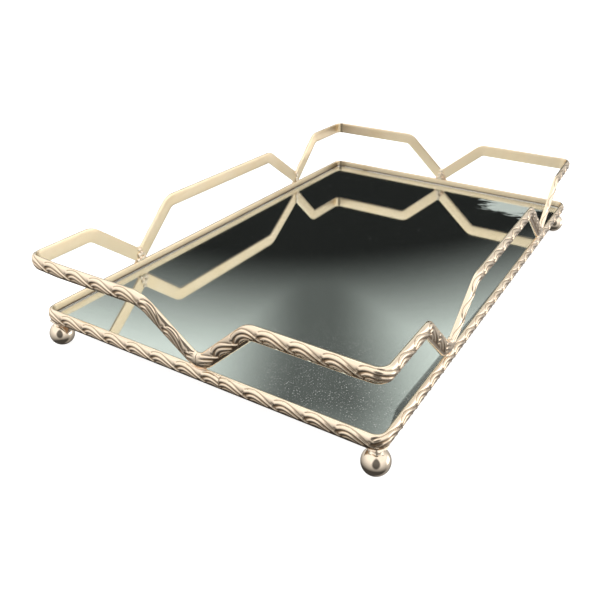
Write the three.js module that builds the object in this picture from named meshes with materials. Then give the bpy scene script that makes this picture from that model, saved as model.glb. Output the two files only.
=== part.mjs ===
// Mirrored vanity tray. A strip of pressed metal, flat on its inner side and domed on its outer side, is
// bent to a rounded rectangle that holds a mirror. Six arches of the same strip stand on it as a gallery,
// brazed on at six V joints, and four ball feet are brazed under the corners.
// Millimetres, +Z up, +X along the tray. The origin is on the resting plane, under the tray's middle.
import * as THREE from "three";

// Overall sizes, over the outside of the base band
const LENGTH = 350;
const WIDTH = 220;
const GALLERY_TOP = 60.8;

// The pressed strip
const STRIP_HEIGHT = 8.6;
const STRIP_DEPTH = 3.2;
const STRIP_EDGE = 0.8; // flat edge between the inner face and the dome
const DOME_SIDES = 7;

// Bends, measured on the strip's middle line, or on its inner face at the tray's corners
const CORNER_RADIUS = 5;
const LEG_BEND_RADIUS = 10;
const BEND_STEPS = 5;
const CORNER_STEPS = 6;

// Ball feet and the braze collars that hold them
const BALL_RADIUS = 7.2;
const BALL_FLAT = 0.15; // depth of the flat that the ball rests on
const BALL_INSET = 6; // from the band's outer faces to the ball's middle
const BALL_STEPS = 12;
const ROUND_SIDES = 24;
const COLLAR_TOP_RADIUS = 3.4;
const COLLAR_FOOT_RADIUS = 4.2;

// Levels
const GAP = 0.3; // clearance that touching pieces keep
const BAND_BOTTOM = 16.2;
const BAND_TOP = BAND_BOTTOM + STRIP_HEIGHT;
const JOINT_LIFT = 0.9; // from the band's top to the underside of a V, filled by the braze
const MIRROR_TOP = 20.3;

// Flat pieces inside the band
const MIRROR_THICKNESS = 2;
const BOARD_THICKNESS = 1.5;
const TAB_THICKNESS = 1;
const FELT_THICKNESS = 0.8;
const MIRROR_CLEARANCE = 0.5; // from the band's inner face to the mirror's edge
const BOARD_CLEARANCE = 0.8;
const TAB_REACH = 8;
const TAB_LENGTH = 14;
const FELT_CLEARANCE = 10;

// Brazed joints
const BRAZE_LENGTH = 11;
const BRAZE_DEPTH = 2.2;
const SEAM_GAP = 0.4; // between the band's two butted ends
const SEAM_AT = -19.4; // place of the seam along the front end

// The tray's four sides, clockwise from above, so that a side's outer face is on the left of its travel.
const INNER_X = LENGTH / 2 - STRIP_DEPTH;
const INNER_Y = WIDTH / 2 - STRIP_DEPTH;
const SIDES = [
  { name: "front", centre: [-INNER_X, 0], travel: [0, 1], straight: INNER_Y - CORNER_RADIUS },
  { name: "left", centre: [0, INNER_Y], travel: [1, 0], straight: INNER_X - CORNER_RADIUS },
  { name: "rear", centre: [INNER_X, 0], travel: [0, -1], straight: INNER_Y - CORNER_RADIUS },
  { name: "right", centre: [0, -INNER_Y], travel: [-1, 0], straight: INNER_X - CORNER_RADIUS },
];
const CORNER_ARC = (Math.PI / 2) * CORNER_RADIUS;
const SIDE_PITCH = SIDES[0].straight + SIDES[1].straight + CORNER_ARC; // between the middles of two sides
const LOOP = 4 * SIDE_PITCH;

// The V joints, clockwise. at: place along the side's travel, from its middle. before and after: how far
// the level rails end from the joint on either side. The gallery is bent by hand, so no two are alike.
const JOINTS = [
  { name: "front", side: 0, at: -5.5, before: 36.3, after: 39.1 },
  { name: "left_front", side: 1, at: -97, before: 39.3, after: 35.6 },
  { name: "left_rear", side: 1, at: 95, before: 43, after: 35.3 },
  { name: "rear", side: 2, at: -1, before: 36, after: 37 },
  { name: "right_rear", side: 3, at: -89, before: 35.3, after: 45 },
  { name: "right_front", side: 3, at: 93, before: 36.5, after: 36.5 },
];
const ARCH_NAMES = [
  "corner_arch_front_left",
  "side_arch_left",
  "corner_arch_rear_left",
  "corner_arch_rear_right",
  "side_arch_right",
  "corner_arch_front_right",
];
// Where the support tabs stand: places along each side's travel, from its middle.
const TABS = [[-60, 60], [-110, 0, 110], [-60, 60], [-110, 0, 110]];

const COLOURS = {
  plated: { color: 0xdcc3a4, roughness: 0.24, metalness: 1 },
  braze: { color: 0xc89a78, roughness: 0.38, metalness: 1 },
  polished: { color: 0xe2cdb0, roughness: 0.08, metalness: 1 },
  mirror: { color: 0xd6dedb, roughness: 0.02, metalness: 1 },
  board: { color: 0x7d6248, roughness: 0.85, metalness: 0 },
  felt: { color: 0x262628, roughness: 1, metalness: 0 },
};

const tray = new THREE.Group();

function addMesh(parent, name, geometry, look) {
  const mesh = new THREE.Mesh(geometry, new THREE.MeshStandardMaterial(COLOURS[look]));
  mesh.name = name;
  parent.add(mesh);
  return mesh;
}

// A point of the inner face line at distance s along it, clockwise from the middle of the front end,
// with the direction of travel there.
function loopPoint(s) {
  const along = ((s % LOOP) + LOOP) % LOOP;
  const index = Math.floor(along / SIDE_PITCH);
  const rest = along - index * SIDE_PITCH;
  const side = SIDES[index];
  const next = SIDES[(index + 1) % 4];
  const travel = new THREE.Vector2(...side.travel);
  const outward = new THREE.Vector2(-travel.y, travel.x);
  if (rest <= side.straight) {
    return { at: new THREE.Vector2(...side.centre).addScaledVector(travel, rest), travel };
  }
  if (rest < side.straight + CORNER_ARC) {
    const angle = (rest - side.straight) / CORNER_RADIUS;
    const at = new THREE.Vector2(...side.centre)
      .addScaledVector(travel, side.straight + CORNER_RADIUS * Math.sin(angle))
      .addScaledVector(outward, CORNER_RADIUS * (Math.cos(angle) - 1));
    const heading = travel.clone().multiplyScalar(Math.cos(angle))
      .addScaledVector(outward, -Math.sin(angle));
    return { at, travel: heading };
  }
  const heading = new THREE.Vector2(...next.travel);
  return { at: new THREE.Vector2(...next.centre).addScaledVector(heading, rest - SIDE_PITCH), travel: heading };
}

// A path with one station for each section of a bent strip: the ends of its straight runs and the
// steps of its bends. A station is its distance s along the inner face line, its height z and its slope.
class StationPath extends THREE.Curve {
  constructor(stations) {
    super();
    this.stations = stations;
  }

  stationAt(u) {
    return this.stations[Math.round(u * (this.stations.length - 1))];
  }

  getPointAt(u, target = new THREE.Vector3()) {
    const station = this.stationAt(u);
    const { at } = loopPoint(station.s);
    return target.set(at.x, at.y, station.z);
  }

  getTangentAt(u, target = new THREE.Vector3()) {
    const station = this.stationAt(u);
    const { travel } = loopPoint(station.s);
    const level = Math.cos(station.slope);
    return target.set(travel.x * level, travel.y * level, Math.sin(station.slope));
  }
}

// The strip's section: x runs down its height, y from the flat inner face out to the crown of the dome.
function stripSection() {
  const half = STRIP_HEIGHT / 2;
  const points = [new THREE.Vector2(-half, 0), new THREE.Vector2(half, 0)];
  for (let i = 0; i <= DOME_SIDES; i++) {
    const angle = (Math.PI * i) / DOME_SIDES;
    const rise = (STRIP_DEPTH - STRIP_EDGE) * Math.sin(angle);
    points.push(new THREE.Vector2(half * Math.cos(angle), STRIP_EDGE + rise));
  }
  return new THREE.Shape(points);
}

function bentStrip(stations) {
  return new THREE.ExtrudeGeometry(stripSection(), {
    steps: stations.length - 1,
    extrudePath: new StationPath(stations),
  });
}

// The level stations between two places on the loop: its ends, and the steps of each corner between them.
function levelRun(from, to, z) {
  const stops = [from];
  for (let index = Math.floor(from / SIDE_PITCH); index * SIDE_PITCH < to; index++) {
    const bend = index * SIDE_PITCH + SIDES[((index % 4) + 4) % 4].straight;
    if (bend <= from || bend >= to) continue;
    for (let i = 0; i <= CORNER_STEPS; i++) stops.push(bend + (CORNER_ARC * i) / CORNER_STEPS);
  }
  stops.push(to);
  return stops.map((s) => ({ s, z, slope: 0 }));
}

// A leg that rises from a V, where it is level, to the end of a level rail, in two opposite bends.
// run is the distance between those two places.
function risingLeg(run, low, high) {
  const between = high - low - 2 * LEG_BEND_RADIUS; // height between the two bends' centres
  const reach = Math.hypot(run, between);
  const slope = Math.atan2(between, run) + Math.asin((2 * LEG_BEND_RADIUS) / reach);
  const leg = [];
  for (let i = 0; i <= BEND_STEPS; i++) {
    const angle = (slope * i) / BEND_STEPS;
    const s = LEG_BEND_RADIUS * Math.sin(angle);
    leg.push({ s, z: low + LEG_BEND_RADIUS * (1 - Math.cos(angle)), slope: angle });
  }
  for (let i = BEND_STEPS; i >= 0; i--) {
    const angle = (slope * i) / BEND_STEPS;
    const s = run - LEG_BEND_RADIUS * Math.sin(angle);
    leg.push({ s, z: high - LEG_BEND_RADIUS * (1 - Math.cos(angle)), slope: angle });
  }
  return leg;
}

const jointPlace = (joint) => joint.side * SIDE_PITCH + joint.at;

function archStations(first, last) {
  const low = BAND_TOP + JOINT_LIFT + STRIP_HEIGHT / 2;
  const high = GALLERY_TOP - STRIP_HEIGHT / 2;
  const start = jointPlace(first) + GAP / 2;
  let end = jointPlace(last) - GAP / 2;
  if (end < start) end += LOOP;
  const rising = risingLeg(first.after, low, high).map((p) => ({ ...p, s: start + p.s }));
  const falling = risingLeg(last.before, low, high)
    .map((p) => ({ s: end - p.s, z: p.z, slope: -p.slope }))
    .reverse();
  const rail = levelRun(start + first.after, end - last.before, high);
  return [...rising, ...rail.slice(1, -1), ...falling];
}

// A frame for the pieces on one side: x along its travel, y outwards from the inner face, z up.
function sideGroup(side) {
  const group = new THREE.Group();
  group.position.set(side.centre[0], side.centre[1], 0);
  group.rotation.z = Math.atan2(side.travel[1], side.travel[0]);
  tray.add(group);
  return group;
}

// A shape drawn in x and z, given a depth along y from the inner face outwards.
function upright(shape, depth, from) {
  const geometry = new THREE.ExtrudeGeometry(shape, { depth, bevelEnabled: false });
  return geometry.rotateX(Math.PI / 2).translate(0, from + depth, 0);
}

// Braze that fills the wedge between the band's level top and the round underside of a V.
function brazeShape() {
  const half = BRAZE_LENGTH / 2;
  const middle = BAND_TOP + JOINT_LIFT + STRIP_HEIGHT / 2 + LEG_BEND_RADIUS;
  const radius = LEG_BEND_RADIUS + STRIP_HEIGHT / 2 + GAP;
  const sweep = Math.asin(half / radius);
  const shape = new THREE.Shape();
  shape.moveTo(-half, BAND_TOP + GAP);
  shape.lineTo(half, BAND_TOP + GAP);
  shape.absarc(0, middle, radius, -Math.PI / 2 + sweep, -Math.PI / 2 - sweep, true);
  shape.closePath();
  return shape;
}

function roundedPlate(clearance, thickness, bottom) {
  const x = INNER_X - clearance;
  const y = INNER_Y - clearance;
  const radius = Math.max(CORNER_RADIUS - clearance, 2);
  const shape = new THREE.Shape();
  shape.moveTo(-x + radius, -y);
  shape.lineTo(x - radius, -y);
  shape.absarc(x - radius, -y + radius, radius, -Math.PI / 2, 0, false);
  shape.absarc(x - radius, y - radius, radius, 0, Math.PI / 2, false);
  shape.absarc(-x + radius, y - radius, radius, Math.PI / 2, Math.PI, false);
  shape.absarc(-x + radius, -y + radius, radius, Math.PI, 1.5 * Math.PI, false);
  const geometry = new THREE.ExtrudeGeometry(shape, {
    depth: thickness,
    bevelEnabled: false,
    curveSegments: CORNER_STEPS,
  });
  return geometry.translate(0, 0, bottom);
}

// A lathe turned about the vertical axis from points given as radius and height.
function turned(points) {
  const profile = points.map(([radius, height]) => new THREE.Vector2(radius, height));
  return new THREE.LatheGeometry(profile, ROUND_SIDES).rotateX(Math.PI / 2);
}

const BALL_CENTRE = BALL_RADIUS - BALL_FLAT;

function ballFoot() {
  const first = Math.acos(BALL_CENTRE / BALL_RADIUS); // where the flat meets the ball
  const points = [[0, 0]];
  for (let i = 0; i < BALL_STEPS; i++) {
    const angle = first + ((Math.PI - first) * i) / BALL_STEPS;
    points.push([BALL_RADIUS * Math.sin(angle), BALL_CENTRE - BALL_RADIUS * Math.cos(angle)]);
  }
  points.push([0, BALL_CENTRE + BALL_RADIUS]);
  return turned(points);
}

// A collar of braze: it sits on the ball, clear of it by the gap, and narrows up to the band.
function footCollar() {
  const seat = BALL_RADIUS + GAP;
  const points = [[0, BALL_CENTRE + seat]];
  for (const share of [0.5, 1]) {
    const radius = COLLAR_FOOT_RADIUS * share;
    points.push([radius, BALL_CENTRE + Math.sqrt(seat * seat - radius * radius)]);
  }
  const waist = (COLLAR_TOP_RADIUS + COLLAR_FOOT_RADIUS) / 2 - GAP;
  points.push([waist, BALL_CENTRE + seat - GAP]);
  points.push([COLLAR_TOP_RADIUS, BAND_BOTTOM - GAP], [0, BAND_BOTTOM - GAP]);
  return turned(points);
}

// Base band
const bandMiddle = BAND_BOTTOM + STRIP_HEIGHT / 2;
const bandStations = levelRun(SEAM_AT + SEAM_GAP / 2, SEAM_AT - SEAM_GAP / 2 + LOOP, bandMiddle);
addMesh(tray, "base_band", bentStrip(bandStations), "plated");

// Gallery arches
ARCH_NAMES.forEach((name, i) => {
  const stations = archStations(JOINTS[i], JOINTS[(i + 1) % JOINTS.length]);
  addMesh(tray, name, bentStrip(stations), "plated");
});

// Mirror, backing board and felt
const mirrorBottom = MIRROR_TOP - MIRROR_THICKNESS;
const boardBottom = mirrorBottom - GAP - BOARD_THICKNESS;
const tabBottom = boardBottom - GAP - TAB_THICKNESS;
const feltBottom = boardBottom - GAP - FELT_THICKNESS;
addMesh(tray, "mirror_plate", roundedPlate(MIRROR_CLEARANCE, MIRROR_THICKNESS, mirrorBottom), "mirror");
addMesh(tray, "backing_board", roundedPlate(BOARD_CLEARANCE, BOARD_THICKNESS, boardBottom), "board");
addMesh(tray, "felt_pad", roundedPlate(FELT_CLEARANCE, FELT_THICKNESS, feltBottom), "felt");

// Brazed joints and support tabs, side by side
const brazeStart = (STRIP_DEPTH - BRAZE_DEPTH) / 2;
SIDES.forEach((side, index) => {
  const group = sideGroup(side);
  for (const joint of JOINTS.filter((j) => j.side === index)) {
    const bead = addMesh(group, `braze_${joint.name}`, upright(brazeShape(), BRAZE_DEPTH, brazeStart), "braze");
    bead.position.x = joint.at;
  }
  TABS[index].forEach((at, i) => {
    const tab = new THREE.BoxGeometry(TAB_LENGTH, TAB_REACH, TAB_THICKNESS);
    const mesh = addMesh(group, `support_tab_${side.name}_${i + 1}`, tab, "plated");
    mesh.position.set(at, -GAP - TAB_REACH / 2, tabBottom + TAB_THICKNESS / 2);
  });
});

// Feet
for (const [end, signX] of [["front", -1], ["rear", 1]]) {
  for (const [hand, signY] of [["left", 1], ["right", -1]]) {
    const foot = new THREE.Group();
    foot.position.set(signX * (LENGTH / 2 - BALL_INSET), signY * (WIDTH / 2 - BALL_INSET), 0);
    tray.add(foot);
    addMesh(foot, `ball_foot_${end}_${hand}`, ballFoot(), "polished");
    addMesh(foot, `foot_collar_${end}_${hand}`, footCollar(), "braze");
  }
}

export default tray;
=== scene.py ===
import math

import bmesh
import bpy
import numpy as np
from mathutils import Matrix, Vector, noise

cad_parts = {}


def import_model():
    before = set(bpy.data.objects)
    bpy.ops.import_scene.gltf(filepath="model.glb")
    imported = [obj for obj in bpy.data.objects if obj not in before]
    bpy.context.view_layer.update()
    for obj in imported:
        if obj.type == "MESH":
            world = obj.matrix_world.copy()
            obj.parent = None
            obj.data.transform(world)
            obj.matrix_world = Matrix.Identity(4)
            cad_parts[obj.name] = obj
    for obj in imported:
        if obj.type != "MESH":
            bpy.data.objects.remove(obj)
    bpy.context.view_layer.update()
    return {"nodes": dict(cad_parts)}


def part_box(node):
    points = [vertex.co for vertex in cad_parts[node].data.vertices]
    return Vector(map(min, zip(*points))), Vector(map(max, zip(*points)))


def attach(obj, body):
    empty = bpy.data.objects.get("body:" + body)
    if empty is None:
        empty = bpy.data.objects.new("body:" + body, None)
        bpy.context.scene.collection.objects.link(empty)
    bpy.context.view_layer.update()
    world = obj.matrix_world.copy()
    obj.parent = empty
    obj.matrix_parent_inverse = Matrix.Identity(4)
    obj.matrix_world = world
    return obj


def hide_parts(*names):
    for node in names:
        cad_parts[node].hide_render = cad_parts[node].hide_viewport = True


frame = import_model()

# Mirrored vanity tray: embossed strip bent into a base band and six gallery arches, brazed at six V
# joints, a silvered glass in the band and four polished ball feet. Lengths are millimetres unless a
# name says otherwise. new_object() brings a mesh to Blender's metres.
MM = 0.001


def box_mm(node):
    low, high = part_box(node)
    return np.array(low) / MM, np.array(high) / MM


# Sizes, read from the CAD frame
BAND_LOW, BAND_HIGH = box_mm("base_band")
MIRROR_LOW, MIRROR_HIGH = box_mm("mirror_plate")
GALLERY_TOP = box_mm("side_arch_left")[1][2]
LENGTH, _, STRIP_HEIGHT = BAND_HIGH - BAND_LOW
BAND_BOTTOM, BAND_TOP = BAND_LOW[2], BAND_HIGH[2]
MIRROR_CLEARANCE = 0.5  # from the band's inner face to the glass
INNER_X = MIRROR_HIGH[0] + MIRROR_CLEARANCE
INNER_Y = MIRROR_HIGH[1] + MIRROR_CLEARANCE
STRIP_DEPTH = LENGTH / 2 - INNER_X

# Bends
CORNER_RADIUS = 5  # on the strip's inner face, as in the CAD
# from the band's top to the underside of a V: nearly closed up, where the CAD keeps 0.9
JOINT_LIFT = 0.15

# The strip's surface
STRIP_EDGE = 0.8  # flat edge between the inner face and the dome
EDGE_ROUND = 0.3
STATION_STEP = 0.5  # between two sections along the strip
FAR_OFF = 1e9  # beyond any length here
# where the dome's points lie, down from its top edge: closest where the beads are
DOME_SPANS = [(0, 0.9, 3), (0.9, 8.4, 25), (8.4, FAR_OFF, 3)]  # from, to, steps
SEAM_AT = -19.4  # where the band's two ends butt, along the front end
SEAM_GAP = 0.22  # a hairline, where the CAD keeps 0.4
HEAT_REACH = 6  # how far from a joint the torch turned the plating coppery

# The mirror
GLASS_RADIUS = 4.5
GLASS_ARRIS = 0.25
SILVER_INSET = 0.1
SILVER_THICKNESS = 0.06
SILVER_ARRIS = 0.01
SILVER_GAP = 0.01  # keeps the coat's face and the glass's from lying on each other

# The felt under the board
FELT_RADIUS = 2
FELT_ARRIS = 0.2

# The feet
BALL_STEPS = 48
BALL_SIDES = 96
NECK_RADIUS = 3.9
NECK_WAIST = 1.2  # how far the neck draws in
NECK_FLARE = 1.3  # how far it widens under the band
NECK_FOOT = 0.83  # where it starts in the ball, as a share of the radius above the centre
NECK_OVERLAP = 0.5  # how far it runs into the band
NECK_STEPS = 12
NECK_SIDES = 48

# The braze
LUMP_SWELL = 0.16  # how uneven a lump is, as a share of its size
MELT_CELL = 0.22

# The four sides, clockwise from above. A side runs from its middle to the middle of the next.
FRONT, LEFT, REAR, RIGHT = range(4)
CENTRES = np.array([[-INNER_X, 0], [0, INNER_Y], [INNER_X, 0], [0, -INNER_Y]], float)
TRAVELS = np.array([[0, 1], [1, 0], [0, -1], [-1, 0]], float)
STRAIGHTS = np.array([INNER_Y, INNER_X, INNER_Y, INNER_X]) - CORNER_RADIUS
CORNER_ARC = math.pi / 2 * CORNER_RADIUS
SIDE_PITCH = STRAIGHTS[0] + STRAIGHTS[1] + CORNER_ARC
LOOP = 4 * SIDE_PITCH
# this many of the relief's waves, and a length beyond them, go round the loop
WAVES, BEYOND_WAVES = 63, 26.4
PERIOD = (LOOP - BEYOND_WAVES) / WAVES
BAND_WAVE_START = -8.6  # place where one of the band's waves starts


# ---------------------------------------------------------------- paths

def loop_frames(s):
    """Points of the inner face line at distances s along it, clockwise from the middle of the front
    end, and the directions of travel there."""
    along = np.mod(s, LOOP)
    side = np.minimum((along // SIDE_PITCH).astype(int), 3)
    rest = along - side * SIDE_PITCH
    travel = TRAVELS[side]
    outward = np.stack([-travel[:, 1], travel[:, 0]], 1)
    straight = STRAIGHTS[side]
    turn = np.clip((rest - straight) / CORNER_RADIUS, 0, math.pi / 2)[:, None]
    before = np.minimum(rest, straight)[:, None]
    after = np.maximum(rest - straight - CORNER_ARC, 0)[:, None]
    at = CENTRES[side] + travel * (before + CORNER_RADIUS * np.sin(turn))
    at = at + outward * CORNER_RADIUS * (np.cos(turn) - 1) - outward * after
    heading = travel * np.cos(turn) - outward * np.sin(turn)
    return at, heading


def joint_place(name, side):
    """The CAD's place of a V joint, as a distance along the loop."""
    low, high = box_mm(f"braze_{name}")
    middle = (low[:2] + high[:2]) / 2
    return side * SIDE_PITCH + float((middle - CENTRES[side]) @ TRAVELS[side])


# name, side, and how far before and after the joint the two level rails end
JOINTS = [
    ("front", FRONT, 36.3, 39.1),
    ("left_front", LEFT, 39.3, 35.6),
    ("left_rear", LEFT, 43, 35.3),
    ("rear", REAR, 36, 37),
    ("right_rear", RIGHT, 35.3, 45),
    ("right_front", RIGHT, 36.5, 36.5),
]
# name, place where one of the relief's waves starts, bend radii (valley, shoulder, shoulder, valley),
# and how far the rail's first end, middle and last end stand off the CAD's in x, y and z, as bent by
# hand
ARCHES = [
    ("corner_arch_front_left", 60.0, (8, 17, 10, 4),
     ((-2.4, 0, -1.2), (-3.1, 0.5, -1.0), (-0.8, -0.6, 0.3))),
    ("side_arch_left", SIDE_PITCH, (4, 10, 9, 4),
     ((1.5, 1.0, -0.5), (1.5, 1.0, -0.5), (1.5, 1.0, -0.5))),
    ("corner_arch_rear_left", 2 * SIDE_PITCH, (4, 9, 9, 4),
     ((-0.6, 0, 0.2), (-0.6, 0, 0.2), (-0.6, 0, 0.2))),
    ("corner_arch_rear_right", 3 * SIDE_PITCH, (4, 9, 8, 5),
     ((0, 0, 0), (-0.4, 3.4, 0), (0, 1.2, 0))),
    ("side_arch_right", 3 * SIDE_PITCH, (6, 8, 10, 5),
     ((1.2, 0, 0.2), (-0.8, 0, -1.0), (-2.0, 0, -2.4))),
    ("corner_arch_front_right", -61.8, (13, 6, 9, 9),
     ((1.6, 1.6, -1.0), (1.6, 1.6, -1.6), (1.6, 1.6, -1.6))),
]
LEAN_PLACES = (0.2, 0.5, 0.8)  # the shares of an arch's length where its three leans apply


def arc_stations(centre_s, centre_z, radius, start, end, sign):
    """Stations (s, z, slope) of a bend in the unrolled plane, from one slope to another. sign is 1
    for a valley and -1 for a crown."""
    count = max(2, math.ceil(abs(end - start) * radius / STATION_STEP))
    slope = np.linspace(start, end, count + 1)
    s = centre_s + sign * radius * np.sin(slope)
    z = centre_z - sign * radius * np.cos(slope)
    return np.stack([s, z, slope], 1)


def straight_stations(first, last):
    """Stations between two others along a straight line, without its ends."""
    length = math.hypot(last[0] - first[0], last[1] - first[1])
    count = max(2, math.ceil(length / STATION_STEP))
    share = np.linspace(0, 1, count + 1)[1:-1, None]
    return np.asarray(first) * (1 - share) + np.asarray(last) * share


def rising_leg(run, low, high, valley_radius, shoulder_radius):
    """A leg from a V, where it is level, to the end of a level rail, run away."""
    both = valley_radius + shoulder_radius
    between = high - low - both
    slope = math.atan2(between, run) + math.asin(both / math.hypot(run, between))
    valley = arc_stations(0, low + valley_radius, valley_radius, 0, slope, 1)
    shoulder = arc_stations(run, high - shoulder_radius, shoulder_radius, slope, 0, -1)
    return np.concatenate([valley, straight_stations(valley[-1], shoulder[0]), shoulder])


def arch_path(index, radii):
    """Stations (s, z, slope) of an arch from one V to the next."""
    low = BAND_TOP + JOINT_LIFT + STRIP_HEIGHT / 2
    high = GALLERY_TOP - STRIP_HEIGHT / 2
    first, last = JOINTS[index], JOINTS[(index + 1) % len(JOINTS)]
    start, end = joint_place(first[0], first[1]), joint_place(last[0], last[1])
    if end < start:
        end += LOOP
    rising = rising_leg(first[3], low, high, radii[0], radii[1]) + [start, 0, 0]
    falling = rising_leg(last[2], low, high, radii[3], radii[2])[::-1] * [-1, 1, -1] + [end, 0, 0]
    rail = straight_stations(rising[-1], falling[0])
    return np.concatenate([rising, rail, falling])


def path_lengths(stations):
    """Distance along the strip's middle line at each station."""
    steps = np.hypot(np.diff(stations[:, 0]), np.diff(stations[:, 1]))
    return np.concatenate([[0], np.cumsum(steps)])


# ---------------------------------------------------------------- the strip's relief

# The relief is a running wave, PERIOD long: a big bead arches over from the lower left, tapers and
# dives to the lower right, with smaller beads nested under it. Above the big bead the strip is
# plain, but for two lines along the bead's flank and a small pit before the bead's round end. Points
# are (along the strip, down from its top edge, half width of the bead). Heights are above the dome.
BIG_BEAD = [(-0.6, 4.6, 0.6), (0.3, 3.45, 0.92), (2.2, 2.5, 1.18), (4.8, 2.15, 1.28), (7.4, 2.55, 1.22),
            (10.0, 3.45, 1.04), (12.8, 4.7, 0.8), (15.8, 6.1, 0.58), (18.8, 7.6, 0.38)]
BIG_CROWN = 0.2
SMALL_BEADS = [
    # crown height, points
    (0.02, [(1.4, 5.9, 0.55), (3.2, 5.0, 0.88), (5.4, 4.72, 1.02), (7.8, 5.2, 0.95), (10.4, 6.25, 0.77),
            (13.4, 7.6, 0.48)]),
    (-0.12, [(3.2, 7.5, 0.55), (5.4, 6.95, 0.82), (8.0, 7.4, 0.76), (10.8, 8.4, 0.45)]),
]
GROUND = -0.5  # level between the beads
PLAIN = -0.04  # level of the plain part above the big bead
PLAIN_FADE = 0.3
MARGIN = -0.1  # level of the lower margin, which is plain again
MARGIN_TOP = 8.9
MARGIN_FADE = 0.5
PIT = (16.0, 4.1, 0.6, 0.7)  # along, down, half length and half height
PIT_DEPTH = 0.32
FLANK_LINES = [(-3.0, 17.0, 0.18, 0.45), (9.0, 15.0, 0.8, 0.1)]  # from, to, distance off, depth
LINE_WIDTH = 0.24
TILE_STEP = 0.1


def smooth_curve(points, count=60):
    """Points along a Catmull-Rom curve through the given ones."""
    p = np.asarray(points, float)
    p = np.concatenate([[2 * p[0] - p[1]], p, [2 * p[-1] - p[-2]]])
    place = np.linspace(0, len(p) - 3 - 1e-9, count)
    i = place.astype(int)
    t = (place - i)[:, None]
    a, b, c, d = p[i], p[i + 1], p[i + 2], p[i + 3]
    squared = (2 * a - 5 * b + 4 * c - d) * t**2
    cubed = (3 * b - a - 3 * c + d) * t**3
    return 0.5 * (2 * b + (c - a) * t + squared + cubed)


def nearest_on(curve, x, y):
    """For grid points, the distance to the nearest segment of curve, with the half width, the place
    along x and the side there (negative above the curve)."""
    best = np.full(x.shape, FAR_OFF)
    width, place, above = np.ones(x.shape), np.zeros(x.shape), np.zeros(x.shape)
    for a, b in zip(curve[:-1], curve[1:]):
        d = b[:2] - a[:2]
        t = np.clip(((x - a[0]) * d[0] + (y - a[1]) * d[1]) / (d @ d), 0, 1)
        dx, dy = x - a[0] - t * d[0], y - a[1] - t * d[1]
        dist = np.hypot(dx, dy)
        closer = dist < best
        best = np.where(closer, dist, best)
        width = np.where(closer, a[2] + t * (b[2] - a[2]), width)
        place = np.where(closer, a[0] + t * d[0], place)
        above = np.where(closer, np.sign(d[0] * dy - d[1] * dx) * dist, above)
    return best, width, place, above


def soften(field, passes):
    """Evens a tile out, which repeats along the strip but not across it."""
    for _ in range(passes):
        field = (np.roll(field, 1, 1) + 2 * field + np.roll(field, -1, 1)) / 4
        padded = np.pad(field, ((1, 1), (0, 0)), mode="edge")
        field = (padded[:-2] + 2 * field + padded[2:]) / 4
    return field


def plain_share(x, y, big):
    """1 in the plain part, which reaches down to whichever big bead is higher up, and 0 below."""
    edge = np.full(x.shape[1], FAR_OFF)
    for shift in (-PERIOD, 0, PERIOD):
        reached = np.interp(x[0], big[:, 0] + shift, big[:, 1], left=FAR_OFF, right=FAR_OFF)
        edge = np.minimum(edge, reached)
    return np.clip((edge[None, :] - y) / PLAIN_FADE + 0.5, 0, 1)


def pit_depth(x, y):
    """Depth of the pits."""
    pit_x, pit_y, half_length, half_height = PIT
    depth = np.zeros(x.shape)
    for shift in (-PERIOD, 0):
        off = ((x - pit_x - shift) / half_length) ** 2 + ((y - pit_y) / half_height) ** 2
        depth = depth + PIT_DEPTH * np.exp(-off * 1.2)
    return depth


def with_bead(height, x, y, crown, curve):
    """The height field with one bead raised on it, and with the flank lines of the big bead."""
    best, width, place, above = nearest_on(curve, x, y)
    inside = np.clip(1 - (best / width) ** 2, 0, 1)
    bead = GROUND + (crown - GROUND) * np.sqrt(inside)
    if crown == BIG_CROWN:
        for start, end, distance, depth in FLANK_LINES:
            along = np.clip((place - start) / 2, 0, 1) * np.clip((end - place) / 2, 0, 1)
            line = np.exp(-(((above + width + distance) / LINE_WIDTH) ** 2))
            height = height - along * depth * line
    return np.where(inside > 0, np.maximum(height, bead), height)


def relief_tile(dome_length):
    """Height of the relief above the plain dome, over one period (columns) and the dome (rows)."""
    columns = round(PERIOD / TILE_STEP)
    rows = round(dome_length / TILE_STEP) + 1
    x, y = np.meshgrid(np.arange(columns) * PERIOD / columns, np.linspace(0, dome_length, rows))
    plain = plain_share(x, y, smooth_curve(BIG_BEAD))
    margin = np.clip((y - MARGIN_TOP) / MARGIN_FADE + 0.5, 0, 1)
    height = GROUND + (PLAIN - GROUND) * plain + (MARGIN - GROUND) * margin
    height = height - plain * pit_depth(x, y)
    for crown, points in [(BIG_CROWN, BIG_BEAD)] + SMALL_BEADS:
        curve = smooth_curve(points)
        for shift in (-PERIOD, 0):
            height = with_bead(height, x - shift, y, crown, curve)
    return soften(height, 1)


def look_up(tile, dome_length, along, down):
    """Bilinear value of a tile at places along the strip and down the dome."""
    rows, columns = tile.shape
    u = np.mod(along / PERIOD, 1) * columns
    v = np.clip(down / dome_length, 0, 1) * (rows - 1)
    u0 = u.astype(int) % columns
    v0 = np.minimum(v.astype(int), rows - 2)
    fu, fv = u - np.floor(u), v - v0
    u1 = (u0 + 1) % columns
    top = tile[v0, u0] * (1 - fu) + tile[v0, u1] * fu
    bottom = tile[v0 + 1, u0] * (1 - fu) + tile[v0 + 1, u1] * fu
    return top * (1 - fv) + bottom * fv


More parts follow.
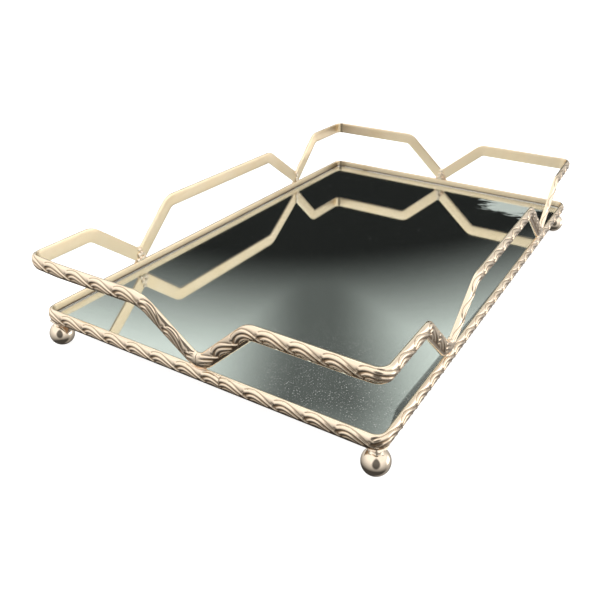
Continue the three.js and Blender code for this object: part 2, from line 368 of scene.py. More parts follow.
def dome_points():
    """Section of the outer side from the strip's top edge to its bottom edge: height, distance out,
    outward normal and arc length."""
    fine = np.linspace(0, math.pi, 721)
    rise = STRIP_DEPTH - STRIP_EDGE
    up, out = STRIP_HEIGHT / 2 * np.cos(fine), STRIP_EDGE + rise * np.sin(fine)
    arc = np.concatenate([[0], np.cumsum(np.hypot(np.diff(up), np.diff(out)))])
    down = [np.linspace(start, min(end, arc[-1]), steps + 1)[1:] for start, end, steps in DOME_SPANS]
    down = np.concatenate([[0]] + down)
    angle = np.interp(down, arc, fine)
    up, out = STRIP_HEIGHT / 2 * np.cos(angle), STRIP_EDGE + rise * np.sin(angle)
    normal_up, normal_out = rise * np.cos(angle), STRIP_HEIGHT / 2 * np.sin(angle)
    size = np.hypot(normal_up, normal_out)
    return up, out, normal_up / size, normal_out / size, down


UP, OUT, NORMAL_UP, NORMAL_OUT, DOWN = dome_points()
DOME_LENGTH = DOWN[-1]
RELIEF = relief_tile(DOME_LENGTH)
HALF = STRIP_HEIGHT / 2
# the flat inner side, from its bottom edge to its top edge: height and distance out
INNER_SECTION = [
    (-HALF, EDGE_ROUND),
    (-HALF + 0.3 * EDGE_ROUND, 0.3 * EDGE_ROUND),
    (-HALF + EDGE_ROUND, 0),
    (-HALF / 2, 0),
    (-0.2, 0),
    (0.3, 0),
    (0.65, 0),
    (HALF / 2, 0),
    (HALF - EDGE_ROUND, 0),
    (HALF - 0.3 * EDGE_ROUND, 0.3 * EDGE_ROUND),
    (HALF, EDGE_ROUND),
]
# painted shade on the band's inner side, darkest where the glass meets it
PAINTED_CONTACT_SHADE = [0, 0, 0, -0.3, -0.36, -0.32, -0.2, -0.14, -0.1, 0, 0]


# ---------------------------------------------------------------- meshes

def new_object(name, verts_mm, faces, smooth=True):
    mesh = bpy.data.meshes.new(name)
    mesh.from_pydata((np.asarray(verts_mm) * MM).tolist(), [], faces)
    mesh.update()
    made = bpy.data.objects.new(name, mesh)
    bpy.context.scene.collection.objects.link(made)
    if smooth:
        mesh.polygons.foreach_set("use_smooth", [True] * len(mesh.polygons))
    return made


def add_values(made, name, values):
    layer = made.data.attributes.new(name, "FLOAT", "POINT")
    layer.data.foreach_set("value", np.asarray(values, np.float32).ravel())


def ring_faces(rings, around):
    """Faces of a solid tube of rings, each of so many points, with one face over either end."""
    i, j = np.meshgrid(np.arange(rings - 1), np.arange(around), indexing="ij")
    k = (j + 1) % around
    quads = np.stack([i * around + j, i * around + k, (i + 1) * around + k, (i + 1) * around + j], -1)
    faces = quads.reshape(-1, 4).tolist()
    faces.append(list(range(around))[::-1])
    faces.append([(rings - 1) * around + j for j in range(around)])
    return faces


def relief_heights(along, wave, worn_ends):
    """Heights of the relief at every station and dome point. worn_ends wears it away near the
    strip's two ends."""
    down = np.tile(DOWN, (len(along), 1))
    # the waves aren't quite evenly spaced
    sway = 0.25 * np.sin(along / 23.0) + 0.15 * np.sin(along / 9.1 + 1.0)
    height = look_up(RELIEF, DOME_LENGTH, wave[:, None] + sway[:, None], down)
    kept = np.clip(down / 0.4, 0, 1) * np.clip((DOME_LENGTH - down) / 0.4, 0, 1)
    if worn_ends:
        from_end = np.minimum(along, along[-1] - along)[:, None]
        kept = kept * np.clip((from_end - 1.5) / 4, 0, 1)
    return height * kept


def lean_offsets(z, along, lean):
    """How far each station stands off in x, y and z: not at the joints, fully at the level rail."""
    low = BAND_TOP + STRIP_HEIGHT / 2
    share = np.clip((z - low) / (GALLERY_TOP - STRIP_HEIGHT - BAND_TOP), 0, 1)[:, None]
    run = (along / along[-1])[:, None]
    return [share * np.interp(run, LEAN_PLACES, [place[axis] for place in lean]) for axis in range(3)]


def strip_mesh(name, stations, wave_start, heat, lean=None, painted_contact_shade=None):
    """A strip with its relief, bent along stations. wave_start is the station distance where one of
    the relief's waves starts; the waves run against the direction of travel. heat is how far the
    torch turned the plating coppery, at each station. lean is how far an arch's rails stand off, and
    the last argument is painted shade at the points of the inner side."""
    s, z, slope = stations.T
    at, heading = loop_frames(s)
    along = path_lengths(stations)
    wave = np.interp(wave_start, s, along) - along
    outward = np.stack([-heading[:, 1], heading[:, 0]], 1)
    count = len(s)
    # the section at each station: the dome, then the flat inner side
    height = relief_heights(along, wave, worn_ends=lean is not None)
    inner_up, inner_out = np.array(INNER_SECTION).T
    up = np.concatenate([UP + height * NORMAL_UP, np.tile(inner_up, (count, 1))], 1)
    out = np.concatenate([OUT + height * NORMAL_OUT, np.tile(inner_out, (count, 1))], 1)
    # into space: up is square to the strip's run, out is level
    sine, cosine = np.sin(slope)[:, None], np.cos(slope)[:, None]
    x = at[:, :1] - heading[:, :1] * sine * up + outward[:, :1] * out
    y = at[:, 1:] - heading[:, 1:] * sine * up + outward[:, 1:] * out
    high = z[:, None] + cosine * up
    if lean is not None:
        off = lean_offsets(z, along, lean)
        x, y, high = x + off[0], y + off[1], high + off[2]
    around = up.shape[1]
    made = new_object(name, np.stack([x, y, high], -1).reshape(-1, 3), ring_faces(count, around))
    # the inner side's points carry painted shade in the relief values, which the material browns like the
    # grooves
    inner_painted_shade = np.zeros(len(inner_up)) if painted_contact_shade is None else painted_contact_shade
    outer = np.concatenate([np.ones(len(UP)), np.zeros(len(inner_up))])
    add_values(made, "relief", np.concatenate([height, np.tile(inner_painted_shade, (count, 1))], 1))
    add_values(made, "outer", np.tile(outer, (count, 1)))
    add_values(made, "across", np.tile(np.concatenate([UP, inner_up]), (count, 1)))
    add_values(made, "heat", np.tile(np.asarray(heat)[:, None], (1, around)))
    return made


def band_path():
    middle = BAND_BOTTOM + STRIP_HEIGHT / 2
    start, end = SEAM_AT + SEAM_GAP / 2, SEAM_AT - SEAM_GAP / 2 + LOOP
    count = math.ceil((end - start) / STATION_STEP)
    s = np.linspace(start, end, count + 1)
    return np.stack([s, np.full(count + 1, middle), np.zeros(count + 1)], 1)


# ---------------------------------------------------------------- materials

def node_material(name):
    made = bpy.data.materials.new(name)
    made.use_nodes = True
    tree = made.node_tree
    return made, tree, tree.nodes["Principled BSDF"]


def node(tree, kind, inputs=None, **settings):
    made = tree.nodes.new(kind)
    for key, value in settings.items():
        setattr(made, key, value)
    for key, value in (inputs or {}).items():
        if isinstance(value, bpy.types.NodeSocket):
            tree.links.new(value, made.inputs[key])
        else:
            made.inputs[key].default_value = value
    return made


def ramp(tree, value, stops):
    made = tree.nodes.new("ShaderNodeValToRGB")
    elements = made.color_ramp.elements
    while len(elements) < len(stops):
        elements.new(0.5)
    for element, (place, colour) in zip(elements, stops):
        element.position = place
        element.color = (*colour, 1)
    tree.links.new(value, made.inputs["Fac"])
    return made.outputs["Color"]


def math_node(tree, operation, *values):
    made = tree.nodes.new("ShaderNodeMath")
    made.operation = operation
    for socket, value in zip(made.inputs, values):
        if isinstance(value, bpy.types.NodeSocket):
            tree.links.new(value, socket)
        else:
            socket.default_value = value
    return made.outputs[0]


def map_range(tree, value, from_low, from_high, to_low, to_high):
    made = node(tree, "ShaderNodeMapRange", {"Value": value, "From Min": from_low, "From Max": from_high,
                                             "To Min": to_low, "To Max": to_high}, clamp=True)
    return made.outputs[0]


def mix_colour(tree, factor, first, second):
    made = tree.nodes.new("ShaderNodeMix")
    made.data_type = "RGBA"
    for socket, value in zip((made.inputs[0], made.inputs[6], made.inputs[7]), (factor, first, second)):
        if isinstance(value, bpy.types.NodeSocket):
            tree.links.new(value, socket)
        elif isinstance(value, tuple):
            socket.default_value = (*value, 1)
        else:
            socket.default_value = value
    return made.outputs[2]


def attribute(tree, name):
    return node(tree, "ShaderNodeAttribute", attribute_name=name).outputs["Fac"]


def object_place(tree):
    return node(tree, "ShaderNodeTexCoord").outputs["Object"]


def noise_field(tree, place, scale, detail, distortion=0.0):
    inputs = {"Vector": place, "Scale": scale, "Detail": detail, "Distortion": distortion}
    return node(tree, "ShaderNodeTexNoise", inputs).outputs["Fac"]


def distance_from(tree, place, centre):
    made = node(tree, "ShaderNodeVectorMath", {0: place, 1: centre}, operation="DISTANCE")
    return made.outputs["Value"]


def add_bump(tree, shader, height, distance, strength):
    made = node(tree, "ShaderNodeBump", {"Height": height, "Distance": distance, "Strength": strength})
    tree.links.new(made.outputs["Normal"], shader.inputs["Normal"])


GROOVE_BROWN = (0.34, 0.23, 0.14)
COPPER = (0.90, 0.58, 0.40)
DARK_SILVER = (0.13, 0.14, 0.125)
ROLLING_PITCH = 0.55  # between the rolling lines on the strip's inner side
DUST_CENTRE = (-0.152, -0.075, 0.0203)  # where most dust lies on the glass, in metres
SPECKS = [(0.029, 0.026), (0.028, -0.0005), (0.062, -0.025), (0.115, 0.084), (-0.117, -0.014)]  # in metres


def plated_strip_material():
    """Champagne-gold plating: brown patina in the relief's grooves, rolling lines on the flat side,
    copper showing where it was heated. On the band's inner side the same brown is painted shade, and
    the inner side's lighter tone is partly painted light."""
    made, tree, shader = node_material("plated_strip")
    relief = attribute(tree, "relief")
    outer = attribute(tree, "outer")
    place = object_place(tree)
    patches = noise_field(tree, place, 60.0, 4.0)
    specks = noise_field(tree, place, 900.0, 3.0)
    # the flat inner side's tone is the plating's colour made lighter than the outer side's: partly painted
    # light on the inner faces
    inner_tone_with_painted_light = ramp(tree, patches, [(0.3, (0.95, 0.785, 0.55)), (0.7, (0.98, 0.835, 0.625))])
    outer_tone = ramp(tree, patches, [(0.3, (0.86, 0.71, 0.545)), (0.7, (0.94, 0.80, 0.64))])
    tone = mix_colour(tree, outer, inner_tone_with_painted_light, outer_tone)
    patchy = map_range(tree, patches, 0.35, 0.6, 0.25, 0.8)
    coppery = mix_colour(tree, math_node(tree, "MULTIPLY", attribute(tree, "heat"), patchy), tone, COPPER)
    # brown in the relief's grooves is patina; on the band's inner side the same brown is painted shade
    patina_and_painted_shade = map_range(tree, relief, -0.1, -0.42, 0.0, 0.9)
    tree.links.new(mix_colour(tree, patina_and_painted_shade, coppery, GROOVE_BROWN), shader.inputs["Base Color"])
    shader.inputs["Metallic"].default_value = 1.0
    dull = map_range(tree, relief, -0.1, -0.6, 0.0, 0.16)
    rough = math_node(tree, "ADD", map_range(tree, patches, 0.3, 0.7, 0.15, 0.22), dull)
    rough = math_node(tree, "ADD", rough, map_range(tree, outer, 0.0, 1.0, 0.13, 0.0))
    tree.links.new(rough, shader.inputs["Roughness"])
    turns = math_node(tree, "MULTIPLY", attribute(tree, "across"), 2 * math.pi / ROLLING_PITCH)
    inner = math_node(tree, "SUBTRACT", 1.0, outer)
    lines = math_node(tree, "MULTIPLY", math_node(tree, "SINE", turns), inner)
    height = math_node(tree, "ADD", math_node(tree, "MULTIPLY", lines, 0.35),
                       math_node(tree, "MULTIPLY", specks, 0.5))
    add_bump(tree, shader, height, 0.00006, 0.7)
    return made


def polished_material():
    """Polished plating on the balls, with faint rubbing marks."""
    made, tree, shader = node_material("polished_ball")
    patches = noise_field(tree, object_place(tree), 220.0, 5.0)
    tone = ramp(tree, patches, [(0.3, (0.82, 0.70, 0.56)), (0.7, (0.90, 0.78, 0.64))])
    tree.links.new(tone, shader.inputs["Base Color"])
    shader.inputs["Metallic"].default_value = 1.0
    tree.links.new(map_range(tree, patches, 0.3, 0.7, 0.06, 0.13), shader.inputs["Roughness"])
    add_bump(tree, shader, patches, 0.00003, 0.4)
    return made


def braze_material():
    """Braze: copper tinted, lumpy, duller than the plating."""
    made, tree, shader = node_material("braze")
    patches = noise_field(tree, object_place(tree), 180.0, 4.0)
    tone = ramp(tree, patches, [(0.36, (0.91, 0.68, 0.50)), (0.5, (0.97, 0.86, 0.71))])
    tree.links.new(tone, shader.inputs["Base Color"])
    shader.inputs["Metallic"].default_value = 1.0
    tree.links.new(map_range(tree, patches, 0.3, 0.7, 0.38, 0.24), shader.inputs["Roughness"])
    add_bump(tree, shader, patches, 0.0001, 0.5)
    return made


def dust_amount(tree, place):
    """Fine dots of dust, thickest round DUST_CENTRE, and a few single specks."""
    cells = node(tree, "ShaderNodeTexVoronoi", {"Vector": place, "Scale": 1000.0})
    dots = map_range(tree, cells.outputs["Distance"], 0.14, 0.30, 1.0, 0.0)
    chosen = node(tree, "ShaderNodeSeparateColor", {"Color": cells.outputs["Color"]}).outputs[0]
    kept = map_range(tree, chosen, 0.3, 1.0, 0.0, 1.0)
    settled = map_range(tree, distance_from(tree, place, DUST_CENTRE), 0.015, 0.085, 1.0, 0.05)
    dust = math_node(tree, "MULTIPLY", math_node(tree, "MULTIPLY", dots, kept), settled)
    dust = math_node(tree, "MULTIPLY", dust, 0.75)
    for x, y in SPECKS:
        away = distance_from(tree, place, (x, y, DUST_CENTRE[2]))
        dust = math_node(tree, "MAXIMUM", dust, map_range(tree, away, 0.0002, 0.0006, 0.35, 0.0))
    return dust


def glass_material():
    """Float glass, faintly green, with dust lying on it towards the front."""
    made, tree, shader = node_material("float_glass")
    place = object_place(tree)
    ripple = noise_field(tree, place, 9.0, 2.0)
    tone = ramp(tree, ripple, [(0.3, (0.95, 0.962, 0.955)), (0.7, (0.965, 0.976, 0.968))])
    tree.links.new(tone, shader.inputs["Base Color"])
    clear = math_node(tree, "SUBTRACT", 1.0, dust_amount(tree, place))
    tree.links.new(clear, shader.inputs["Transmission Weight"])
    shader.inputs["Roughness"].default_value = 0.0
    shader.inputs["IOR"].default_value = 1.5
    return made


def gap_to_edge(tree, place, half):
    """Distance from the nearer of two edges, which lie half a size either side of the middle."""
    return math_node(tree, "SUBTRACT", float(half * MM), math_node(tree, "ABSOLUTE", place))


def silver_material():
    """The silver coat under the glass, clouded a little. It is dark in from its edge, furthest
    along the right side towards the front."""
    made, tree, shader = node_material("silver_coat")
    place = object_place(tree)
    cloud = noise_field(tree, place, 14.0, 4.0)
    tone = ramp(tree, cloud, [(0.3, (0.735, 0.77, 0.735)), (0.7, (0.76, 0.79, 0.76))])
    parts = node(tree, "ShaderNodeSeparateXYZ", {"Vector": place})
    x, y = parts.outputs[0], parts.outputs[1]
    reach = map_range(tree, x, -0.13, 0.04, 4.8 * MM, 1.3 * MM)
    reach = math_node(tree, "MULTIPLY", reach, map_range(tree, x, -0.160, -0.145, 0.2, 1.0))
    from_right = math_node(tree, "ADD", y, float(MIRROR_HIGH[1] * MM))
    dark_from_right = map_range(tree, math_node(tree, "DIVIDE", from_right, reach), 0.85, 1.08, 1.0, 0.0)
    end_gap = gap_to_edge(tree, x, MIRROR_HIGH[0])
    side_gap = gap_to_edge(tree, y, MIRROR_HIGH[1])
    gap = math_node(tree, "MINIMUM", end_gap, side_gap)
    rim = map_range(tree, gap, 0.5 * MM, 0.9 * MM, 1.0, 0.0)
    tone = mix_colour(tree, math_node(tree, "MAXIMUM", dark_from_right, rim), tone, DARK_SILVER)
    tree.links.new(tone, shader.inputs["Base Color"])
    shader.inputs["Metallic"].default_value = 1.0
    shader.inputs["Roughness"].default_value = 0.012
    return made


def board_material():
    """Raw hardboard: brown pressed fibres."""
    made, tree, shader = node_material("hardboard")
    fibre = noise_field(tree, object_place(tree), 700.0, 8.0, 1.5)
    browns = [(0.3, (0.16, 0.09, 0.05)), (0.55, (0.30, 0.19, 0.11)), (0.75, (0.42, 0.29, 0.18))]
    tree.links.new(ramp(tree, fibre, browns), shader.inputs["Base Color"])
    shader.inputs["Roughness"].default_value = 0.85
    add_bump(tree, shader, fibre, 0.0002, 0.6)
    return made


def felt_material():
    """Black felt with a slight fuzz."""
    made, tree, shader = node_material("felt")
    fuzz = noise_field(tree, object_place(tree), 1500.0, 6.0)
    tone = ramp(tree, fuzz, [(0.3, (0.012, 0.012, 0.014)), (0.7, (0.045, 0.045, 0.05))])
    tree.links.new(tone, shader.inputs["Base Color"])
    shader.inputs["Roughness"].default_value = 0.95
    shader.inputs["Sheen Weight"].default_value = 0.5
    add_bump(tree, shader, fuzz, 0.0004, 0.8)
    return made


MATERIALS = {
    "plated_strip": plated_strip_material(),
    "polished_ball": polished_material(),
    "braze": braze_material(),
    "glass": glass_material(),
    "silver": silver_material(),
    "hardboard": board_material(),
    "felt": felt_material(),
}


def finish_piece(made, material, slot, *replaced):
    made.data.materials.clear()
    made.data.materials.append(MATERIALS[material])
    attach(made, "root")
    if replaced:
        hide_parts(*replaced)


# ---------------------------------------------------------------- strips

def heat_near(s, places, reach):
    """How coppery the strip is at distances s along the loop, near the places that were heated."""
    heat = np.zeros(len(s))
    for place in places:
        away = np.mod(s - place + LOOP / 2, LOOP) - LOOP / 2
        heat = np.maximum(heat, np.exp(-((away / reach) ** 2)))
    return heat


JOINT_PLACES = [joint_place(joint[0], joint[1]) for joint in JOINTS]
CORNER_PLACES = [(side + 1) * SIDE_PITCH - STRAIGHTS[(side + 1) % 4] - CORNER_ARC / 2 for side in range(4)]


def make_band():
    path = band_path()
    heat = heat_near(path[:, 0], JOINT_PLACES + CORNER_PLACES + [SEAM_AT], HEAT_REACH)
    band = strip_mesh("base_band_relief", path, BAND_WAVE_START, heat, painted_contact_shade=PAINTED_CONTACT_SHADE)
    finish_piece(band, "plated_strip", "plated_strip", "base_band")


def make_arch(index, name, wave_start, radii, lean):
    path = arch_path(index, radii)
    start = wave_start
    while start < path[0, 0]:
        start += LOOP
    while start > path[-1, 0]:
        start -= LOOP
    # of the corners, the torch coloured only the rear left one's arch
    heat = heat_near(path[:, 0], JOINT_PLACES + CORNER_PLACES[1:2], HEAT_REACH)
    arch = strip_mesh(name + "_relief", path, max(start, path[0, 0]), heat, lean)
    finish_piece(arch, "plated_strip", "plated_strip", name)


make_band()
for index, (name, wave_start, radii, lean) in enumerate(ARCHES):
    make_arch(index, name, wave_start, radii, lean)


# ---------------------------------------------------------------- mirror

def rounded_outline(half_x, half_y, radius, steps=8):
    points = []
    for quarter, (sx, sy) in enumerate([(1, 1), (-1, 1), (-1, -1), (1, -1)]):
        for i in range(steps + 1):
            angle = math.pi / 2 * (quarter + i / steps)
            x = sx * (half_x - radius) + radius * math.cos(angle)
            y = sy * (half_y - radius) + radius * math.sin(angle)
            points.append((x, y))
    return points


def plate_mesh(name, half_x, half_y, radius, bottom, top, arris):
    """A plate with rounded corners and an arris ground round its two faces."""
    levels = [(bottom, arris), (bottom + arris, 0), (top - arris, 0), (top, arris)]
    verts = []
    for z, inset in levels:
        verts += [(x, y, z) for x, y in rounded_outline(half_x - inset, half_y - inset, radius - inset)]
    around = len(verts) // len(levels)
    return new_object(name, verts, ring_faces(len(levels), around), smooth=False)


def make_mirror():
    half_x, half_y, top = MIRROR_HIGH
    bottom = MIRROR_LOW[2]
    silver_top = bottom + SILVER_THICKNESS
    glass_low = silver_top + SILVER_GAP
    glass = plate_mesh("mirror_glass", half_x, half_y, GLASS_RADIUS, glass_low, top, GLASS_ARRIS)
    finish_piece(glass, "glass", "mirror", "mirror_plate")
    half_x, half_y, radius = half_x - SILVER_INSET, half_y - SILVER_INSET, GLASS_RADIUS - SILVER_INSET
    silver = plate_mesh("mirror_silver", half_x, half_y, radius, bottom, silver_top, SILVER_ARRIS)
    finish_piece(silver, "silver", "mirror")


make_mirror()


# ---------------------------------------------------------------- feet

def lathe_mesh(name, centre, profile, sides, wobble=None):
    """A turned piece. profile: radius and height, both ends on the axis."""
    verts = [(centre[0], centre[1], profile[0][1])]
    for radius, z in profile[1:-1]:
        for k in range(sides):
            angle = 2 * math.pi * k / sides
            grown = radius * (1 + (wobble(angle, z) if wobble else 0))
            verts.append((centre[0] + grown * math.cos(angle), centre[1] + grown * math.sin(angle), z))
    verts.append((centre[0], centre[1], profile[-1][1]))
    rings = len(profile) - 2
    faces = [(0, 1 + (k + 1) % sides, 1 + k) for k in range(sides)]
    for i in range(rings - 1):
        for k in range(sides):
            a, b = 1 + i * sides + k, 1 + i * sides + (k + 1) % sides
            faces.append((a, b, b + sides, a + sides))
    last = len(verts) - 1
    faces += [(last - sides + k, last - sides + (k + 1) % sides, last) for k in range(sides)]
    return new_object(name, verts, faces)


def ball_profile(radius, centre_z, flat):
    """A ball from its flat, at the bottom, to its top."""
    first = math.acos((radius - flat) / radius)
    profile = [(0, centre_z - radius + flat)]
    for i in range(BALL_STEPS):
        angle = first + (math.pi - first) * i / BALL_STEPS
        profile.append((radius * math.sin(angle), centre_z - radius * math.cos(angle)))
    return profile + [(0, centre_z + radius)]


def neck_profile(low, high):
    """A neck of braze: it narrows to a waist and flares again under the band."""
    profile = []
    for i in range(NECK_STEPS + 1):
        share = i / NECK_STEPS
        drawn_in = NECK_WAIST * math.sin(math.pi * min(1, share * 1.2))
        radius = NECK_RADIUS - drawn_in + NECK_FLARE * share**2
        profile.append((radius, low + share * (high - low)))
    return [(0, profile[0][1])] + profile + [(0, profile[-1][1])]


def neck_wobble(angle, z):
    return 0.05 * math.sin(3 * angle + z) + 0.03 * math.sin(7 * angle + 2 * z)


def make_foot(corner):
    low, high = box_mm(f"ball_foot_{corner}")
    centre = (low + high) / 2
    radius = (high[0] - low[0]) / 2
    centre_z = high[2] - radius
    profile = ball_profile(radius, centre_z, radius - centre_z)
    ball = lathe_mesh(f"ball_{corner}", centre, profile, BALL_SIDES)
    finish_piece(ball, "polished_ball", "polished_ball", f"ball_foot_{corner}")
    profile = neck_profile(centre_z + radius * NECK_FOOT, BAND_BOTTOM + NECK_OVERLAP)
    collar = lathe_mesh(f"braze_collar_{corner}", centre, profile, NECK_SIDES, neck_wobble)
    finish_piece(collar, "braze", "braze", f"foot_collar_{corner}")


for end in ("front", "rear"):
    for hand in ("left", "right"):
        make_foot(f"{end}_{hand}")


# ---------------------------------------------------------------- braze at the V joints

# Lumps of braze, from a joint's middle at the band's top: along the strip, out from the inner face,
# up, and the three half sizes
FILLET = [(0, 1.4, 0.05, 4.2, 1.2, 0.6), (-3.6, 1.3, 0.4, 1.9, 1.0, 0.75), (3.6, 1.3, 0.4, 1.9, 1.0, 0.75)]
CAP = [(-0.3, 0.1, 8.1, 2.2, 1.1, 1.3), (0.3, 1.6, 8.8, 1.6, 1.4, 1.0)]
SEAM_BEADS = [(0.1, -0.3, 1.2, 1.9, 1.1, 1.3), (-0.5, -0.2, 3.3, 1.5, 1.0, 1.6),
              (0.6, -0.3, 5.7, 1.7, 1.0, 1.6)]
CLUSTER = [(-3.0, -0.2, 1.3, 1.5, 0.9, 1.4), (-1.0, -0.3, 2.0, 1.4, 1.1, 1.8),
           (1.1, -0.3, 1.5, 1.5, 1.0, 1.5), (3.0, -0.1, 2.4, 1.3, 0.9, 1.5),
           (-1.7, -0.2, 4.7, 1.4, 1.0, 1.5), (0.5, -0.4, 5.2, 1.5, 1.1, 1.7),
           (2.1, -0.2, 4.5, 1.2, 0.9, 1.2)]
SMALL_SEAM = [(0.0, 0.0, 2.0, 1.0, 0.6, 1.6), (0.2, 0.4, 8.6, 1.3, 0.9, 0.8)]
LUMPS = {
    "front": FILLET + [(-1.8, 1.0, 8.5, 1.1, 0.8, 0.5)],
    "left_front": FILLET + CLUSTER + CAP,
    "left_rear": FILLET + SEAM_BEADS + CAP,
    "rear": FILLET + CLUSTER + CAP,
    "right_rear": FILLET + SMALL_SEAM,
    "right_front": FILLET + SMALL_SEAM,
}


def braze_mesh(name, place, lumps):
    """Ellipsoids of braze, roughened and melted into one skin."""
    at, heading = loop_frames(np.array([place]))
    along = Vector((heading[0, 0], heading[0, 1], 0))
    outward = Vector((-heading[0, 1], heading[0, 0], 0))
    origin = Vector((at[0, 0], at[0, 1], BAND_TOP))
    made = bmesh.new()
    for run, out, up, half_run, half_out, half_up in lumps:
        ball = bmesh.ops.create_icosphere(made, subdivisions=4, radius=1)["verts"]
        for vert in ball:
            swell = 1 + LUMP_SWELL * noise.noise(vert.co * 1.7 + Vector((run, up, place)))
            x, y, z = vert.co * swell
            vert.co = origin + along * (run + x * half_run) + outward * (out + y * half_out)
            vert.co.z += up + z * half_up
        bmesh.ops.scale(made, vec=(MM, MM, MM), verts=ball)
    mesh = bpy.data.meshes.new(name)
    made.to_mesh(mesh)
    made.free()
    skin = bpy.data.objects.new(name, mesh)
    bpy.context.scene.collection.objects.link(skin)
    melt = skin.modifiers.new("melt", "REMESH")
    melt.mode = "VOXEL"
    melt.voxel_size = MELT_CELL * MM
    melt.use_smooth_shade = True
    even = skin.modifiers.new("even", "SMOOTH")
    even.factor = 0.5
    even.iterations = 3
    melted = bpy.data.meshes.new_from_object(skin.evaluated_get(bpy.context.evaluated_depsgraph_get()))
    skin.modifiers.clear()
    skin.data = melted
    return skin


for (name, *_), place in zip(JOINTS, JOINT_PLACES):
    weld = braze_mesh(f"weld_{name}", place, LUMPS[name])
    finish_piece(weld, "braze", "braze", f"braze_{name}")


# ---------------------------------------------------------------- carried-over CAD nodes

CAD_MATERIALS = {"support_tab": "polished_ball", "backing_board": "hardboard", "felt_pad": "felt"}
for name, cad in frame["nodes"].items():
    for start, material in CAD_MATERIALS.items():
        if name.startswith(start):
            cad.data.materials.clear()
            cad.data.materials.append(MATERIALS[material])


def make_felt():
    low, high = box_mm("felt_pad")
    felt = plate_mesh("felt_sheet", high[0], high[1], FELT_RADIUS, low[2], high[2], FELT_ARRIS)
    finish_piece(felt, "felt", "felt", "felt_pad")


make_felt()


# ---------------------------------------------------------------- studio

BACKDROP_RADIUS = 3000
BACKDROP_HEIGHT = 3000
BACKDROP_SIDES = 48
FLOOR_HALF = 30000
FLOOR_DROP = 0.02  # keeps the floor just under the balls


def stage_piece(name, made, emission, base):
    """Makes a plain pale sheet of a mesh, which the metal and the glass don't reflect: they reflect
    the world."""
    material, _, shader = node_material(name)
    shader.inputs["Base Color"].default_value = (base, base, base, 1)
    shader.inputs["Roughness"].default_value = 0.9
    shader.inputs["Emission Color"].default_value = (1, 1, 1, 1)
    shader.inputs["Emission Strength"].default_value = emission
    made.data.materials.append(material)
    made.visible_glossy = False
    made.visible_transmission = False


def backdrop():
    """A pale wall all round, seen by the camera alone."""
    turns = [2 * math.pi * k / BACKDROP_SIDES for k in range(BACKDROP_SIDES)]
    outline = [(BACKDROP_RADIUS * math.cos(turn), BACKDROP_RADIUS * math.sin(turn)) for turn in turns]
    verts = [(x, y, z) for z in (-1, BACKDROP_HEIGHT) for x, y in outline]
    faces = []
    for k in range(BACKDROP_SIDES):
        following = (k + 1) % BACKDROP_SIDES
        faces.append((k, following, BACKDROP_SIDES + following, BACKDROP_SIDES + k))
    made = new_object("backdrop", verts, faces)
    stage_piece("backdrop", made, 1.0, 0.1)
    made.visible_diffuse = False
    made.visible_shadow = False


def floor():
    signs = [(-1, -1), (1, -1), (1, 1), (-1, 1)]
    verts = [(x * FLOOR_HALF, y * FLOOR_HALF, -FLOOR_DROP) for x, y in signs]
    stage_piece("floor", new_object("floor", verts, [(0, 1, 2, 3)]), 0.86, 0.6)


# The room, which is the world, is given in degrees: bearing, anticlockwise from +X, and rise above
# the level.
COLUMN_BEARING = 30.3
COLUMN_TOP = 31.7  # above this the dark column widens
DARK_MIDDLE = 32.2  # bearing where the far side's dark lower part reaches highest
DARK_TOP = 24.6
FIGURE_BEARING = -152.8
FIGURE_RISE = 18.0
SHADE_BEARING = -5.0
GROUND_BEARING = -24.0
GLOW_BEARING = -52.0
GLOW_RISE = -3.0
WINDOW_BEARING = 13.0
WINDOW_RISE = 19.65
WINDOW_TILT = -0.115  # rise for each degree of bearing
NEAR_COLOUR = (1.0, 0.98, 0.95)
FAR_COLOUR = (0.94, 1.0, 0.96)


def away_from(tree, angle, middle):
    """How far an angle lies from a middle one, either way."""
    return math_node(tree, "ABSOLUTE", math_node(tree, "SUBTRACT", angle, middle))


def squared_share(tree, distance, half_size):
    return math_node(tree, "POWER", math_node(tree, "DIVIDE", distance, half_size), 2.0)


def window_light(tree, way, bearing, rise):
    """A small bright window with a ragged outline."""
    leaves = node(tree, "ShaderNodeVectorMath", {0: way, 1: (60.0, 60.0, 500.0)}, operation="MULTIPLY")
    ragged = map_range(tree, noise_field(tree, leaves.outputs[0], 1.0, 3.0), 0.3, 0.7, -0.45, 0.45)
    wide = math_node(tree, "DIVIDE", away_from(tree, bearing, WINDOW_BEARING), 2.1)
    tilted = math_node(tree, "MULTIPLY", math_node(tree, "SUBTRACT", bearing, WINDOW_BEARING), WINDOW_TILT)
    tall = math_node(tree, "SUBTRACT", math_node(tree, "SUBTRACT", rise, WINDOW_RISE), tilted)
    tall = math_node(tree, "DIVIDE", math_node(tree, "ABSOLUTE", tall), 0.62)
    apart = math_node(tree, "ADD", math_node(tree, "MAXIMUM", wide, tall), ragged)
    return map_range(tree, apart, 0.7, 1.15, 0.7, 0.0)


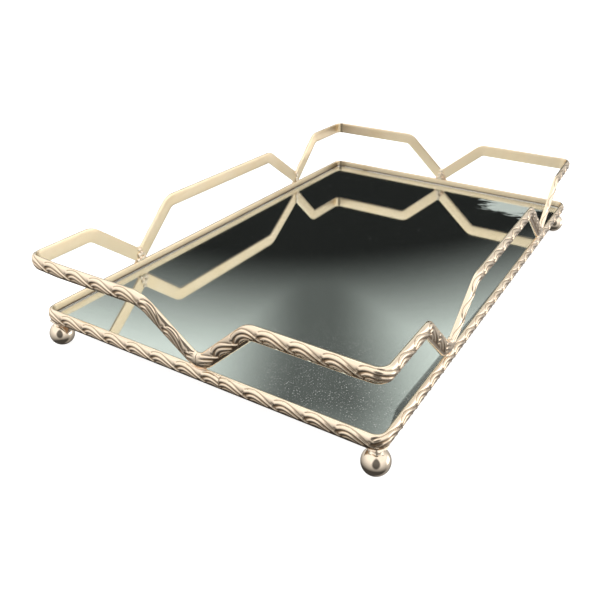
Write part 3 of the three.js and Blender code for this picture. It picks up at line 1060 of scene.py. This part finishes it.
def far_side(tree, bearing, rise):
    """Dark low down and lighter upwards, up to a level that is lowest in the column."""
    above_column = math_node(tree, "MAXIMUM", math_node(tree, "SUBTRACT", rise, COLUMN_TOP), 0.0)
    widening = math_node(tree, "MULTIPLY", above_column, 0.3)
    beside = math_node(tree, "SUBTRACT", away_from(tree, bearing, COLUMN_BEARING), widening)
    span = {"Value": beside, "From Min": 0.9, "From Max": 14.4, "To Min": 0.133, "To Max": 0.96}
    level = node(tree, "ShaderNodeMapRange", span, interpolation_type="SMOOTHSTEP").outputs[0]
    drop = math_node(tree, "POWER", math_node(tree, "SUBTRACT", bearing, DARK_MIDDLE), 2.0)
    dark_top = math_node(tree, "SUBTRACT", DARK_TOP, math_node(tree, "MULTIPLY", drop, 0.0097))
    past = math_node(tree, "MAXIMUM", math_node(tree, "SUBTRACT", rise, dark_top), 0.0)
    climb = math_node(tree, "DIVIDE", math_node(tree, "POWER", past, 2.0), math_node(tree, "ADD", past, 7.8))
    climb = math_node(tree, "MULTIPLY", climb, 0.18)
    upper = math_node(tree, "MAXIMUM", math_node(tree, "SMOOTH_MIN", climb, level, 0.10), 0.0)
    overhead = map_range(tree, rise, 38.0, 62.0, 0.0, 1.2)
    return math_node(tree, "ADD", math_node(tree, "ADD", upper, 0.022), overhead)


def near_side(tree, bearing, rise):
    """A wall that is brighter upwards, with a dark figure before it, a shaded stretch and a glow."""
    ground = map_range(tree, away_from(tree, bearing, GROUND_BEARING), 30.0, 60.0, 0.4, 0.07)
    wall = map_range(tree, rise, -46.0, 24.0, ground, 1.3)
    # the bearing from the figure, the short way round
    turned = away_from(tree, away_from(tree, bearing, FIGURE_BEARING), 180.0)
    turned = math_node(tree, "SUBTRACT", 180.0, turned)
    tall = math_node(tree, "SUBTRACT", rise, FIGURE_RISE)
    oval = math_node(tree, "ADD", squared_share(tree, turned, 31.0), squared_share(tree, tall, 42.0))
    wall = math_node(tree, "MULTIPLY", wall, map_range(tree, oval, 0.6, 1.3, 0.14, 1.0))
    shade = map_range(tree, away_from(tree, bearing, SHADE_BEARING), 17.0, 45.0, 0.64, 1.0)
    glow = map_range(tree, away_from(tree, bearing, GLOW_BEARING), 12.0, 26.0, 1.5, 0.0)
    level = map_range(tree, away_from(tree, rise, GLOW_RISE), 8.0, 16.0, 1.0, 0.0)
    glow = math_node(tree, "MULTIPLY", glow, level)
    return math_node(tree, "ADD", math_node(tree, "MULTIPLY", wall, shade), glow)


def world():
    """The room seen in the metal and the glass. Its far side, which the mirror shows, has a soft dark
    column and a small bright window low on the right. Its near side is a bright wall."""
    made = bpy.data.worlds.new("studio")
    bpy.context.scene.world = made
    made.use_nodes = True
    tree = made.node_tree
    background = tree.nodes["Background"]
    way = node(tree, "ShaderNodeTexCoord").outputs["Generated"]
    parts = node(tree, "ShaderNodeSeparateXYZ", {"Vector": way})
    x, y, z = (parts.outputs[i] for i in range(3))
    rise = math_node(tree, "MULTIPLY", math_node(tree, "ARCSINE", z), 180 / math.pi)
    bearing = math_node(tree, "MULTIPLY", math_node(tree, "ARCTAN2", y, x), 180 / math.pi)
    far_value = math_node(tree, "ADD", far_side(tree, bearing, rise), window_light(tree, way, bearing, rise))
    far = map_range(tree, away_from(tree, bearing, COLUMN_BEARING), 44.0, 27.0, 0.0, 1.0)
    far = math_node(tree, "MULTIPLY", far, map_range(tree, rise, -3.0, 3.0, 0.0, 1.0))
    near = math_node(tree, "SUBTRACT", 1.0, far)
    value = math_node(tree, "ADD", math_node(tree, "MULTIPLY", far, far_value),
                      math_node(tree, "MULTIPLY", near, near_side(tree, bearing, rise)))
    tree.links.new(value, background.inputs["Strength"])
    tree.links.new(mix_colour(tree, far, NEAR_COLOUR, FAR_COLOUR), background.inputs["Color"])


CAMERA_PLACE = (-0.3703, -0.1904, 0.2107)  # in metres
CAMERA_TURN = (59.212, -0.835, -59.314)  # in degrees, about x, y and z
CAMERA_LENS = 38.37
CAMERA_SHIFT = 0.0333


def camera():
    data = bpy.data.cameras.new("camera")
    made = bpy.data.objects.new("camera", data)
    bpy.context.scene.collection.objects.link(made)
    made.location = CAMERA_PLACE
    made.rotation_euler = [math.radians(turn) for turn in CAMERA_TURN]
    data.lens = CAMERA_LENS
    data.sensor_width = 36
    data.shift_x = -CAMERA_SHIFT
    data.shift_y = CAMERA_SHIFT
    data.clip_start = 0.01
    bpy.context.scene.camera = made


floor()
backdrop()
world()
camera()
bpy.context.scene.view_settings.view_transform = "Standard"
